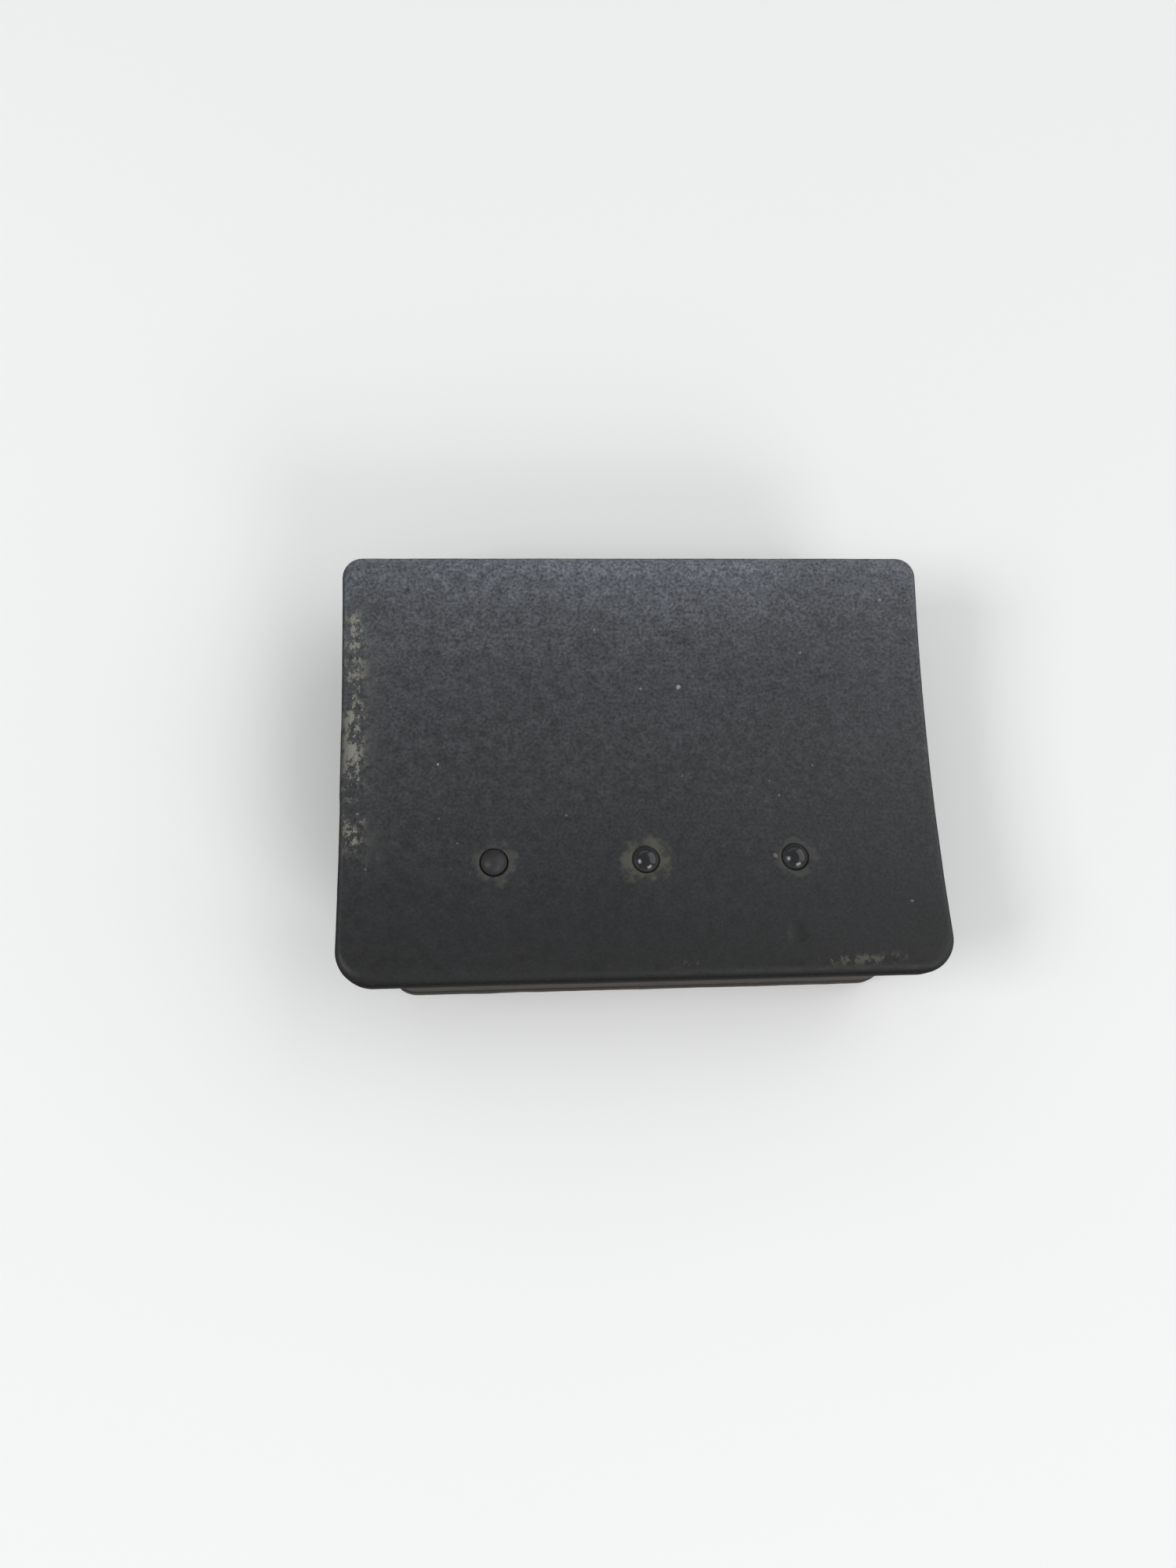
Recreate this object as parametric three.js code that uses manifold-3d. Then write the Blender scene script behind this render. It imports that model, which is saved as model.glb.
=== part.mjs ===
// A raised pavement marker: a dished black cover with three glass beads, screwed to a brown base
// tray that stands on an adhesive pad. Millimetres, +Z up, the road side at z = 0, traffic meets the -Y edge.
// The marker's plan is centred on the origin.

import * as THREE from 'three';
import { mergeVertices } from 'three/addons/utils/BufferGeometryUtils.js';
import Module from 'manifold-3d';

const wasm = await Module();
wasm.setup();

// ---------------------------------------------------------------- driving dimensions

// overall
const coverWidth = 100;
const coverDepth = 73;
const markerHeight = 20;

// cover
const coverEdgeThickness = 5.6;
const dishRadius = 216;
const endRound = 2.8;
const sideRound = 1.2;
const frontCornerRadius = 6;
const backCornerRadius = 3.6;
const edgeUndercut = 0.3;
const lowerEdgeRound = 1.4;
const roundShare = 0.87;
const ribHeight = 2;
const ribThickness = 1.6;
const bossWall = 1.8;

// base tray
const sideOverhang = 8.5;
const frontOverhang = 0.4;
const trayWall = 3;
const trayFloor = 2;
const trayCornerRadius = 3.4;
const trayInnerCornerRadius = 1.4;
const postWall = 1.7;
const postHeight = 1.7;

// adhesive pad and gasket
const padThickness = 4;
const padBulge = 0.4;
const gasketThickness = 0.8;
const gasketSetback = 0.4;

// beads
const beadRadius = 2.4;
const beadProtrusion = 1;
const beadSetback = 19.7;
const beadEndInset = 16.7;
const lipCatch = 0.1;
const sealWidth = 0.65;
const cupWall = 0.4;
const cupNoseStep = 0.2;

// bead carrier and its screws
const carrierThickness = 1.5;
const carrierEndMargin = 4.2;
const carrierHalfDepth = 4;
const carrierScrewRadius = 0.85;
const carrierScrewReach = 1.8;
const carrierHeadRadius = 1.7;
const carrierHeadHeight = 1.1;
const carrierSocketRadius = 0.7;

// base screws and threaded inserts
const screwInsetX = 9.5;
const screwInsetY = 10.1;
const screwRadius = 1.45;
const screwLength = 5.6;
const screwHeadRadius = 2.8;
const screwHeadHeight = 1.6;
const screwSocketRadius = 1.2;
const socketShare = 0.55;
const headChamferShare = 0.25;
const tipChamferShare = 0.5;
const socketSides = 6;
const insertRadius = 2.35;
const insertLength = 4.2;
const insertSetback = 0.2;
const insertHoleSpare = 0.4;

// clearances
const snugGap = 0.05;
const runGap = 0.1;
const screwHoleGap = 0.25;
const mouldedGap = 0.3;

// fineness of the round shapes
const roundSides = 24;
const beadRings = 16;
const dishSteps = 24;
const filletSteps = 5;
const bevelSteps = 4;
const mergeDistance = 1e-4;

// how far a cutter runs past the face that it cuts, and a joined piece into its neighbour
const past = 0.5;

// ---------------------------------------------------------------- sizes worked out from them

const baseWidth = coverWidth - 2 * sideOverhang;
const baseDepth = coverDepth - 2 * frontOverhang;
const innerWidth = baseWidth - 2 * trayWall;
const innerDepth = baseDepth - 2 * trayWall;

const trayBottom = padThickness;
const floorTop = trayBottom + trayFloor;
const postTop = floorTop + postHeight;
const underside = markerHeight - coverEdgeThickness;
const trayTop = underside - gasketThickness;

// A round is never larger than the wall that it sits on allows.
const lowerRound = Math.min(lowerEdgeRound, (coverEdgeThickness - endRound) / 2);
const endFaceRound = Math.min(sideRound, lowerRound * roundShare);

// The dish is an arc that runs into the round of each end edge without a step.
const roundCentreY = coverDepth / 2 - endRound;
const roundCentreZ = markerHeight - endRound;
const dishCentreZ = roundCentreZ + Math.sqrt((dishRadius + endRound) ** 2 - roundCentreY ** 2);
const dishHeightAt = (y) => dishCentreZ - Math.sqrt(dishRadius ** 2 - y ** 2);

const beadY = -coverDepth / 2 + beadSetback;
const beadSpacing = baseWidth / 2 - beadEndInset;
const beadZ = dishHeightAt(beadY) + beadProtrusion - beadRadius;
const mouthRadius = beadRadius - lipCatch;
const lipBottom = beadZ + Math.sqrt(beadRadius ** 2 - (mouthRadius - snugGap) ** 2) + snugGap;
const sealInner = beadRadius + snugGap;
const cupRadius = sealInner + sealWidth;
const socketRadius = cupRadius + runGap;
const cupNoseRadius = beadRadius - cupNoseStep;
const bowlRadius = beadRadius + snugGap;
const cupTop = beadZ - snugGap;
const cupBottom = beadZ - bowlRadius - cupWall;
const beads = [
  { name: 'left', x: -beadSpacing },
  { name: 'centre', x: 0 },
  { name: 'right', x: beadSpacing },
];

const carrierBottom = underside - carrierThickness;
const carrierHeadBottom = carrierBottom - carrierHeadHeight;
const carrierHalfWidth = beadSpacing + carrierEndMargin;
const carrierScrews = [
  { name: 'left', x: -beadSpacing / 2 },
  { name: 'right', x: beadSpacing / 2 },
];

const screwX = baseWidth / 2 - screwInsetX;
const screwY = baseDepth / 2 - screwInsetY;
const screwPlaces = [
  [-screwX, -screwY],
  [screwX, -screwY],
  [screwX, screwY],
  [-screwX, screwY],
];
const insertBottom = postTop + insertSetback;
const insertHoleRadius = insertRadius + snugGap;
const bossRadius = insertHoleRadius + bossWall;
const headRecessRadius = screwHeadRadius + mouldedGap;
const postRadius = headRecessRadius + postWall;

// ---------------------------------------------------------------- solids

// Joining and cutting need closed meshes whose corners are shared.
function solid(geometry) {
  const bare = geometry.index ? geometry : geometry.clone();
  bare.deleteAttribute('normal');
  bare.deleteAttribute('uv');
  const merged = mergeVertices(bare, mergeDistance);
  return new wasm.Manifold(
    new wasm.Mesh({
      numProp: 3,
      vertProperties: new Float32Array(merged.attributes.position.array),
      triVerts: new Uint32Array(merged.index.array),
    }),
  );
}

function geometryOf(shape) {
  const mesh = shape.getMesh();
  const geometry = new THREE.BufferGeometry();
  geometry.setAttribute('position', new THREE.BufferAttribute(mesh.vertProperties, 3));
  geometry.setIndex(new THREE.BufferAttribute(mesh.triVerts, 1));
  geometry.computeVertexNormals();
  return geometry;
}

// A rectangle centred on the origin, with one radius for the front corners and one for the back.
function roundedPlan(width, depth, front, back) {
  const x = width / 2;
  const y = depth / 2;
  const plan = new THREE.Shape();
  plan.moveTo(-x + front, -y);
  plan.lineTo(x - front, -y);
  plan.absarc(x - front, -y + front, front, -Math.PI / 2, 0);
  plan.lineTo(x, y - back);
  plan.absarc(x - back, y - back, back, 0, Math.PI / 2);
  plan.lineTo(-x + back, y);
  plan.absarc(-x + back, y - back, back, Math.PI / 2, Math.PI);
  plan.lineTo(-x, -y + front);
  plan.absarc(-x + front, -y + front, front, Math.PI, 1.5 * Math.PI);
  return plan;
}

// A plan raised from one height to another.
function prism(plan, bottom, top) {
  const geometry = new THREE.ExtrudeGeometry(plan, {
    depth: top - bottom,
    bevelEnabled: false,
    curveSegments: filletSteps,
  });
  return solid(geometry.translate(0, 0, bottom));
}

function trayPrism(inset, bottom, top) {
  const corner = trayInnerCornerRadius;
  return prism(
    roundedPlan(innerWidth - 2 * inset, innerDepth - 2 * inset, corner, corner),
    bottom,
    top,
  );
}

// An upright cylinder between two heights.
function post(x, y, radius, bottom, top, sides = roundSides) {
  const geometry = new THREE.CylinderGeometry(radius, radius, top - bottom, sides);
  return solid(geometry.rotateX(Math.PI / 2).translate(x, y, (bottom + top) / 2));
}

// A turned piece from [radius, height] points that start and end on its axis, or close on themselves.
function turned(points, x, y) {
  const profile = points.map(([r, z]) => new THREE.Vector2(r, z));
  const geometry = new THREE.LatheGeometry(profile, roundSides);
  return solid(geometry.rotateX(Math.PI / 2).translate(x, y, 0));
}

// A flat ring with square edges.
function ring(inner, outer, bottom, top, x, y) {
  const square = [[inner, bottom], [outer, bottom], [outer, top], [inner, top]];
  return turned([...square, square[0]], x, y);
}

// ---------------------------------------------------------------- cover

// The slab's section from front to back: flat below, round at both ends, dished above.
function coverSection() {
  const y = coverDepth / 2;
  const low = lowerRound;
  const foot = y - edgeUndercut;
  const tilt = Math.atan2(roundCentreY, dishCentreZ - roundCentreZ);
  const section = new THREE.Shape();
  section.moveTo(-foot + low, underside);
  section.lineTo(foot - low, underside);
  section.absarc(foot - low, underside + low, low, -Math.PI / 2, 0);
  section.lineTo(y, roundCentreZ);
  section.absarc(roundCentreY, roundCentreZ, endRound, 0, Math.PI / 2 + tilt);
  const dish = [];
  for (let i = 1; i < dishSteps; i++) {
    const angle = tilt - (2 * tilt * i) / dishSteps;
    dish.push(new THREE.Vector2(
      dishRadius * Math.sin(angle),
      dishCentreZ - dishRadius * Math.cos(angle),
    ));
  }
  dish.forEach((point) => section.lineTo(point.x, point.y));
  section.absarc(-roundCentreY, roundCentreZ, endRound, Math.PI / 2 - tilt, Math.PI);
  section.lineTo(-foot, underside + low);
  section.absarc(-foot + low, underside + low, low, Math.PI, 1.5 * Math.PI);
  return section;
}

function coverSlab() {
  const bevel = {
    bevelEnabled: true,
    bevelThickness: endFaceRound,
    bevelSize: endFaceRound,
    bevelOffset: -endFaceRound,
    bevelSegments: bevelSteps,
    curveSegments: filletSteps,
  };
  const along = new THREE.ExtrudeGeometry(coverSection(), {
    ...bevel,
    depth: coverWidth - 2 * endFaceRound,
  });
  along.translate(0, 0, endFaceRound - coverWidth / 2);
  // Section x becomes depth, section y becomes height, and the extrusion becomes width.
  along.applyMatrix4(new THREE.Matrix4().makeBasis(
    new THREE.Vector3(0, 1, 0),
    new THREE.Vector3(0, 0, 1),
    new THREE.Vector3(1, 0, 0),
  ));
  const plan = roundedPlan(coverWidth, coverDepth, frontCornerRadius, backCornerRadius);
  const upright = new THREE.ExtrudeGeometry(plan, {
    ...bevel,
    depth: coverEdgeThickness,
  });
  upright.translate(0, 0, markerHeight - coverEdgeThickness - endFaceRound);
  return solid(along).intersect(solid(upright));
}

function cover() {
  let body = coverSlab();
  const rib = trayPrism(mouldedGap, underside - ribHeight, underside + past).subtract(
    trayPrism(mouldedGap + ribThickness, underside - ribHeight - past, underside + 2 * past),
  );
  body = body.add(rib);
  for (const [x, y] of screwPlaces) {
    const holeTop = insertBottom + insertLength + insertHoleSpare;
    body = body
      .add(post(x, y, bossRadius, postTop, underside + past))
      .subtract(post(x, y, insertHoleRadius, postTop - past, holeTop));
  }
  for (const { x } of beads) {
    body = body
      .subtract(post(x, beadY, socketRadius, underside - past, lipBottom))
      .subtract(post(x, beadY, mouthRadius, lipBottom - past, markerHeight + past));
  }
  for (const { x } of carrierScrews) {
    const holeTop = underside + carrierScrewReach + runGap;
    body = body.subtract(post(x, beadY, carrierScrewRadius + snugGap, underside - past, holeTop));
  }
  return body;
}

// ---------------------------------------------------------------- beads, seals and cups

function bead(x) {
  const geometry = new THREE.SphereGeometry(beadRadius, roundSides, beadRings);
  return solid(geometry.rotateX(Math.PI / 2).translate(x, beadY, beadZ));
}

function beadSeal(x) {
  const bottom = beadZ + snugGap;
  const top = lipBottom - snugGap;
  return ring(sealInner, cupRadius, bottom, top, x, beadY);
}

// A turned metal slug with a round bowl that the bead sits in, and a nose through the carrier.
function reflectorCup(x) {
  const points = [
    [0, cupBottom],
    [cupNoseRadius, cupBottom],
    [cupNoseRadius, underside],
    [cupRadius, underside],
    [cupRadius, cupTop],
  ];
  const rimAngle = Math.asin((beadZ - cupTop) / bowlRadius);
  for (let i = 0; i <= beadRings / 2; i++) {
    const angle = rimAngle + ((Math.PI / 2 - rimAngle) * i) / (beadRings / 2);
    const last = i === beadRings / 2;
    points.push([last ? 0 : bowlRadius * Math.cos(angle), beadZ - bowlRadius * Math.sin(angle)]);
  }
  return turned(points, x, beadY);
}

// A bar with round ends, just short of half circles so that no two of its corners meet.
function carrierPlan(grow) {
  const halfWidth = carrierHalfWidth + grow;
  const halfDepth = carrierHalfDepth + grow;
  return roundedPlan(2 * halfWidth, 2 * halfDepth, halfDepth - snugGap, halfDepth - snugGap);
}

function beadCarrier() {
  let plate = prism(carrierPlan(0), carrierBottom, underside).translate([0, beadY, 0]);
  for (const { x } of beads) {
    const hole = post(x, beadY, cupNoseRadius + runGap, carrierBottom - past, underside + past);
    plate = plate.subtract(hole);
  }
  for (const { x } of carrierScrews) {
    const hole = post(x, beadY, carrierScrewRadius + runGap, carrierBottom - past, underside + past);
    plate = plate.subtract(hole);
  }
  return plate;
}

// ---------------------------------------------------------------- screws and inserts

// A screw standing head down: its head hangs below the seat and its shank reaches up past it.
function screw(x, y, seat, size) {
  const edge = size.headHeight * headChamferShare;
  const tip = size.radius * tipChamferShare;
  const shape = turned(
    [
      [0, seat - size.headHeight],
      [size.headRadius - edge, seat - size.headHeight],
      [size.headRadius, seat - size.headHeight + edge],
      [size.headRadius, seat],
      [size.radius, seat],
      [size.radius, seat + size.length - tip],
      [size.radius - tip, seat + size.length],
      [0, seat + size.length],
    ],
    x,
    y,
  );
  const bottom = seat - size.headHeight;
  const socketTop = bottom + size.headHeight * socketShare;
  return shape.subtract(post(x, y, size.socketRadius, bottom - past, socketTop, socketSides));
}

const baseScrewSize = {
  radius: screwRadius,
  length: screwLength,
  headRadius: screwHeadRadius,
  headHeight: screwHeadHeight,
  socketRadius: screwSocketRadius,
};

const carrierScrewSize = {
  radius: carrierScrewRadius,
  length: carrierThickness + carrierScrewReach,
  headRadius: carrierHeadRadius,
  headHeight: carrierHeadHeight,
  socketRadius: carrierSocketRadius,
};

function threadedInsert(x, y) {
  const top = insertBottom + insertLength;
  const bore = screwRadius + runGap;
  return ring(bore, insertRadius, insertBottom, top, x, y);
}

// ---------------------------------------------------------------- base tray, fill, gasket and pad

function baseTray() {
  const corner = trayCornerRadius;
  let tray = prism(roundedPlan(baseWidth, baseDepth, corner, corner), trayBottom, trayTop)
    .subtract(trayPrism(0, floorTop, trayTop + past));
  for (const [x, y] of screwPlaces) {
    tray = tray
      .add(post(x, y, postRadius, floorTop - past, postTop))
      .subtract(post(x, y, screwRadius + screwHoleGap, trayBottom - past, postTop + past))
      .subtract(post(x, y, headRecessRadius, trayBottom - past, floorTop));
  }
  return tray;
}

// The fill stands on the tray's floor and meets the cover's underside, clear of all that hangs between.
function coreFill() {
  let fill = trayPrism(mouldedGap, floorTop, underside);
  const ribSpace = trayPrism(-past, underside - ribHeight - mouldedGap, underside + past).subtract(
    trayPrism(2 * mouldedGap + ribThickness, trayBottom, underside + 2 * past),
  );
  fill = fill.subtract(ribSpace);
  const postSpace = Math.max(bossRadius, postRadius) + mouldedGap;
  for (const [x, y] of screwPlaces) {
    fill = fill.subtract(post(x, y, postSpace, floorTop - past, underside + past));
  }
  const pocketBottom = Math.min(carrierHeadBottom, cupBottom) - mouldedGap;
  const pocket = prism(carrierPlan(mouldedGap), pocketBottom, underside + past);
  return fill.subtract(pocket.translate([0, beadY, 0]));
}

function coverGasket() {
  const corner = trayCornerRadius - gasketSetback;
  const width = baseWidth - 2 * gasketSetback;
  const depth = baseDepth - 2 * gasketSetback;
  return prism(roundedPlan(width, depth, corner, corner), trayTop, underside).subtract(
    trayPrism(0, trayTop - past, underside + past),
  );
}

function adhesivePad() {
  const corner = trayCornerRadius + padBulge;
  const width = baseWidth + 2 * padBulge;
  const depth = baseDepth + 2 * padBulge;
  return prism(roundedPlan(width, depth, corner, corner), 0, padThickness);
}

// ---------------------------------------------------------------- materials

const finishes = {
  blackPlastic: { color: 0x36373a, roughness: 0.6, metalness: 0 },
  brownPlastic: { color: 0x4a443d, roughness: 0.8, metalness: 0 },
  rubber: { color: 0x1c1c1e, roughness: 0.8, metalness: 0 },
  butyl: { color: 0x3b352f, roughness: 0.9, metalness: 0 },
  sandResin: { color: 0x8d7b5f, roughness: 0.95, metalness: 0 },
  darkGlass: { color: 0x1b1b1d, roughness: 0.08, metalness: 0 },
  aluminium: { color: 0xc4c6c8, roughness: 0.25, metalness: 1 },
  carrierPlastic: { color: 0xb9b6ac, roughness: 0.5, metalness: 0 },
  steel: { color: 0x9a9c9e, roughness: 0.35, metalness: 1 },
  brass: { color: 0xb08d46, roughness: 0.35, metalness: 1 },
};

// ---------------------------------------------------------------- the marker

const marker = new THREE.Group();

function addPiece(name, shape, finish) {
  const piece = new THREE.Mesh(geometryOf(shape), new THREE.MeshStandardMaterial(finishes[finish]));
  piece.name = name;
  marker.add(piece);
}

addPiece('cover', cover(), 'blackPlastic');
addPiece('base_tray', baseTray(), 'brownPlastic');
addPiece('core_fill', coreFill(), 'sandResin');
addPiece('cover_gasket', coverGasket(), 'rubber');
addPiece('adhesive_pad', adhesivePad(), 'butyl');
addPiece('bead_carrier', beadCarrier(), 'carrierPlastic');

for (const { name, x } of beads) {
  addPiece(`bead_${name}`, bead(x), 'darkGlass');
  addPiece(`bead_seal_${name}`, beadSeal(x), 'rubber');
  addPiece(`reflector_cup_${name}`, reflectorCup(x), 'aluminium');
}

for (const { name, x } of carrierScrews) {
  addPiece(`carrier_screw_${name}`, screw(x, beadY, carrierBottom, carrierScrewSize), 'steel');
}

screwPlaces.forEach(([x, y], index) => {
  addPiece(`threaded_insert_${index + 1}`, threadedInsert(x, y), 'brass');
  addPiece(`base_screw_${index + 1}`, screw(x, y, floorTop, baseScrewSize), 'steel');
});

export default marker;
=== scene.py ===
# %% [markdown]
# # A raised pavement marker
#
# A raised pavement marker is a low block that is bonded to the road to mark a lane. This one has a matte
# black cover, dished from front to back, with three small glass beads near the edge that faces traffic,
# and a narrower brown base that stands on an adhesive pad. The engineering model gives every piece its
# size and place. This lesson remakes the pieces that show as fine meshes and gives every piece a finish.

# %% Load the engineering model
import math

import bpy
from mathutils import Euler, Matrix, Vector


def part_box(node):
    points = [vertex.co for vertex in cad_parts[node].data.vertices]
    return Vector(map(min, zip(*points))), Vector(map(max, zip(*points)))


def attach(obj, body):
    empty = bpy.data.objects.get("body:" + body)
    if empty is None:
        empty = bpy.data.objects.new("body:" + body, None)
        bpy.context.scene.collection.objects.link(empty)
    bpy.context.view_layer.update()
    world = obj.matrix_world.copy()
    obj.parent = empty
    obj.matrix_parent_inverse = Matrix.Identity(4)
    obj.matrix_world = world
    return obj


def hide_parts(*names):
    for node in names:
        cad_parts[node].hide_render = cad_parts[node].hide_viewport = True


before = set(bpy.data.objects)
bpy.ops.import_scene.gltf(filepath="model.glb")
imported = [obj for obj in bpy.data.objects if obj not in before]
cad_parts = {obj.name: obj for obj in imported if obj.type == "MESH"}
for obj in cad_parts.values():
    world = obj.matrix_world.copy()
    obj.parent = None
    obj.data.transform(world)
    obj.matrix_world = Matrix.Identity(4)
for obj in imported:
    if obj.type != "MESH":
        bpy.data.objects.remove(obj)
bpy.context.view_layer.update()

MM = 0.001
SIDES = ("left", "centre", "right")
print("pieces in the engineering model:", len(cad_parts))

# %% [markdown]
# ## The camera
#
# The camera comes first, because every later choice is judged through it. It looks down on the marker
# from in front and a little to the left, as a person does who holds a phone over a small thing on a
# table. A phone's main lens sees about as much as a 27 mm lens on a 36 mm sensor.

# %% Place the camera
camera_data = bpy.data.cameras.new("phone_lens")
camera_data.sensor_width = 36
camera_data.lens = 27
camera = bpy.data.objects.new("camera", camera_data)
bpy.context.scene.collection.objects.link(camera)
camera.location = Vector((-23.76, -53.06, 205.87)) * MM
camera.rotation_euler = Euler([math.radians(turn) for turn in (14.75, -3.97, -1.87)], "XYZ")
camera_data.clip_start = 0.01
bpy.context.scene.camera = camera
print("camera height above the road, mm:", round(camera.location.z / MM, 1))

# %% [markdown]
# ## Tools for modelling
#
# Operators act on what is selected, so two small helpers keep the selection honest. One makes a single
# object active with nothing else selected. The other chooses vertices, edges or faces by a test on their
# place, and leaves Blender in edit mode, ready for the operator.

# %% Selection helpers
MODES = {"VERT": (True, False, False), "EDGE": (False, True, False), "FACE": (False, False, True)}


def activate(piece):
    """Leaves edit mode and makes this the only selected object."""
    if bpy.context.object and bpy.context.object.mode != "OBJECT":
        bpy.ops.object.mode_set(mode="OBJECT")
    bpy.ops.object.select_all(action="DESELECT")
    piece.select_set(True)
    bpy.context.view_layer.objects.active = piece
    return piece


def middle(mesh, element):
    """The middle of an edge or a face, or a vertex's own place."""
    if hasattr(element, "co"):
        return element.co
    corners = [mesh.vertices[index].co for index in element.vertices]
    return sum(corners, Vector()) / len(corners)


def choose(piece, kind, test):
    """Selects the vertices, edges or faces that pass the test, and enters edit mode."""
    activate(piece)
    mesh = piece.data
    bpy.context.tool_settings.mesh_select_mode = MODES[kind]
    everything = (mesh.vertices, mesh.edges, mesh.polygons)
    for elements in everything:
        elements.foreach_set("select", [False] * len(elements))
    elements = everything[list(MODES).index(kind)]
    for element in elements:
        if test(element, middle(mesh, element)):
            element.select = True
            for index in getattr(element, "vertices", ()):
                mesh.vertices[index].select = True
    bpy.ops.object.mode_set(mode="EDIT")


def choose_all(piece):
    choose(piece, "FACE", lambda face, place: True)


print("selection helpers ready")

# %% [markdown]
# The other helpers add a block or a cylinder at its real size and place, cut or join one mesh with
# another, apply a modifier, and finish a piece: smooth shading up to a set angle, a body to ride on, and
# hiding the engineering pieces that it stands for. Cuts and joins use the manifold solver. It needs
# closed meshes, which all of these are, and it gives the same result each time.

# %% Building helpers
SAME_PLACE = 0.01 * MM
SHORTEST_UPRIGHT = 0.1 * MM


def named(name):
    """Names the new object, and puts its place, turn and size into its mesh."""
    piece = bpy.context.object
    piece.name = name
    piece.data.name = name
    bpy.ops.object.transform_apply(location=True, rotation=True, scale=True)
    return piece


def add_block(name, low, high):
    """A block between two corners."""
    bpy.ops.object.select_all(action="DESELECT")
    size = high - low
    bpy.ops.mesh.primitive_cube_add(size=1, location=(low + high) / 2, scale=size)
    return named(name)


def add_post(name, centre, radius, bottom, top, sides=64):
    """An upright cylinder."""
    bpy.ops.object.select_all(action="DESELECT")
    place = (centre.x, centre.y, (bottom + top) / 2)
    bpy.ops.mesh.primitive_cylinder_add(
        vertices=sides, radius=radius, depth=top - bottom, location=place
    )
    return named(name)


def apply_modifier(piece, kind, **settings):
    activate(piece)
    modifier = piece.modifiers.new(kind.lower(), kind)
    for key, value in settings.items():
        setattr(modifier, key, value)
    bpy.ops.object.modifier_apply(modifier=modifier.name)


def combine(piece, tools, operation):
    """Cuts the tools' shapes out of the piece, or joins them on, and removes the tools."""
    activate(tools[0])
    for tool in tools:
        tool.select_set(True)
    if len(tools) > 1:
        bpy.ops.object.join()
    apply_modifier(piece, "BOOLEAN", operation=operation, solver="MANIFOLD", object=tools[0])
    bpy.data.objects.remove(tools[0])


def round_edges(piece, test, radius, segments):
    """Rounds the edges that pass the test."""
    choose(piece, "EDGE", test)
    bpy.ops.mesh.bevel(
        offset=radius, offset_type="OFFSET", segments=segments, profile=0.5, affect="EDGES"
    )
    bpy.ops.object.mode_set(mode="OBJECT")


def is_upright(piece):
    """A test for edges that stand straight up."""
    def test(edge, place):
        low, high = (piece.data.vertices[index].co for index in edge.vertices)
        return (low - high).xy.length < SAME_PLACE and abs(low.z - high.z) > SHORTEST_UPRIGHT
    return test


def finish_piece(piece, nodes, smooth_angle=35):
    """Smooths the shading, rides the piece on the root body, and hides the engineering pieces it stands
    for.
    """
    activate(piece)
    bpy.ops.object.shade_smooth_by_angle(angle=math.radians(smooth_angle))
    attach(piece, "root")
    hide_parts(*nodes)
    triangles = sum(len(face.vertices) - 2 for face in piece.data.polygons)
    print(piece.name, "triangles:", triangles)
    return piece


print("building helpers ready")

# %% [markdown]
# ## The cover
#
# The cover is a moulded black slab. Its top is dished from front to back, its front and back edges are
# well rounded, and its sides are rounded less. A boolean cut could make the dish, but its facets would
# then fight with the rounded edges. So the slab is rounded while it is still flat, cut into a fine grid,
# and only then lowered into the dish.

# %% The cover's sizes
cover_low, cover_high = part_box("cover")
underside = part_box("cover_gasket")[1].z
crest = cover_high.z
half_width = cover_high.x
half_depth = cover_high.y
dish_radius = 216 * MM
end_round = 2.8 * MM
side_round = 1.2 * MM
lower_round = 1.4 * MM
front_corner = 6 * MM
back_corner = 3.6 * MM

# The dish meets the rounded end where both have the same slope, which is the highest line of the cover.
crest_slope = math.asin((half_depth - end_round) / (dish_radius + end_round))
crest_y = half_depth - end_round + end_round * math.sin(crest_slope)
round_drop = end_round * (1 - math.cos(crest_slope))


def dish(y):
    """How far the dish lifts (above 0) or lowers a point of the flat top."""
    return (y * y - crest_y * crest_y) / (2 * dish_radius) + round_drop


print("depth of the dish, mm:", round(-dish(0) / MM, 2))

# %% The slab with its four upright corners rounded
cover = add_block(
    "cover_shell",
    Vector((-half_width, -half_depth, underside)),
    Vector((half_width, half_depth, crest)),
)
upright = is_upright(cover)
for at_front, radius, segments in ((True, front_corner, 16), (False, back_corner, 8)):
    round_edges(
        cover, lambda edge, place: upright(edge, place) and (place.y < 0) == at_front, radius, segments
    )
print("cover corners rounded")

# %% [markdown]
# One bevel rounds the whole rim. A weight on each edge says how much of the full radius it gets: all of
# it along the front and back, less along the sides, and a gradual change around the corners.

# %% Round the rim with weighted edges
def rim_share(place, outward):
    """The share of the largest rounding that a rim edge gets, from the way it faces."""
    if place.z < (underside + crest) / 2:
        return lower_round / end_round
    facing_end = abs(outward.y) / max(abs(outward.x) + abs(outward.y), 1e-9)
    return (side_round + (end_round - side_round) * facing_end) / end_round


mesh = cover.data
weights = mesh.attributes.new("bevel_weight_edge", "FLOAT", "EDGE")
for edge in mesh.edges:
    start, end = (mesh.vertices[index].co for index in edge.vertices)
    if abs(start.z - end.z) < SAME_PLACE:
        along = end - start
        outward = Vector((along.y, -along.x, 0)).normalized()
        weights.data[edge.index].value = rim_share((start + end) / 2, outward)
apply_modifier(
    cover, "BEVEL", width=end_round, segments=10, limit_method="WEIGHT",
    use_clamp_overlap=False, offset_type="OFFSET",
)
print("rim rounded, faces:", len(cover.data.polygons))

# %% [markdown]
# Bisect cuts a straight line through every selected face, so a comb of cuts in both directions gives the
# flat top a grid of small faces that the dish and the fine waviness can follow.

# %% Cut the top into a grid
COVER_GRID = 1.0 * MM
CUT_TOLERANCE = 0.02 * MM


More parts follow.
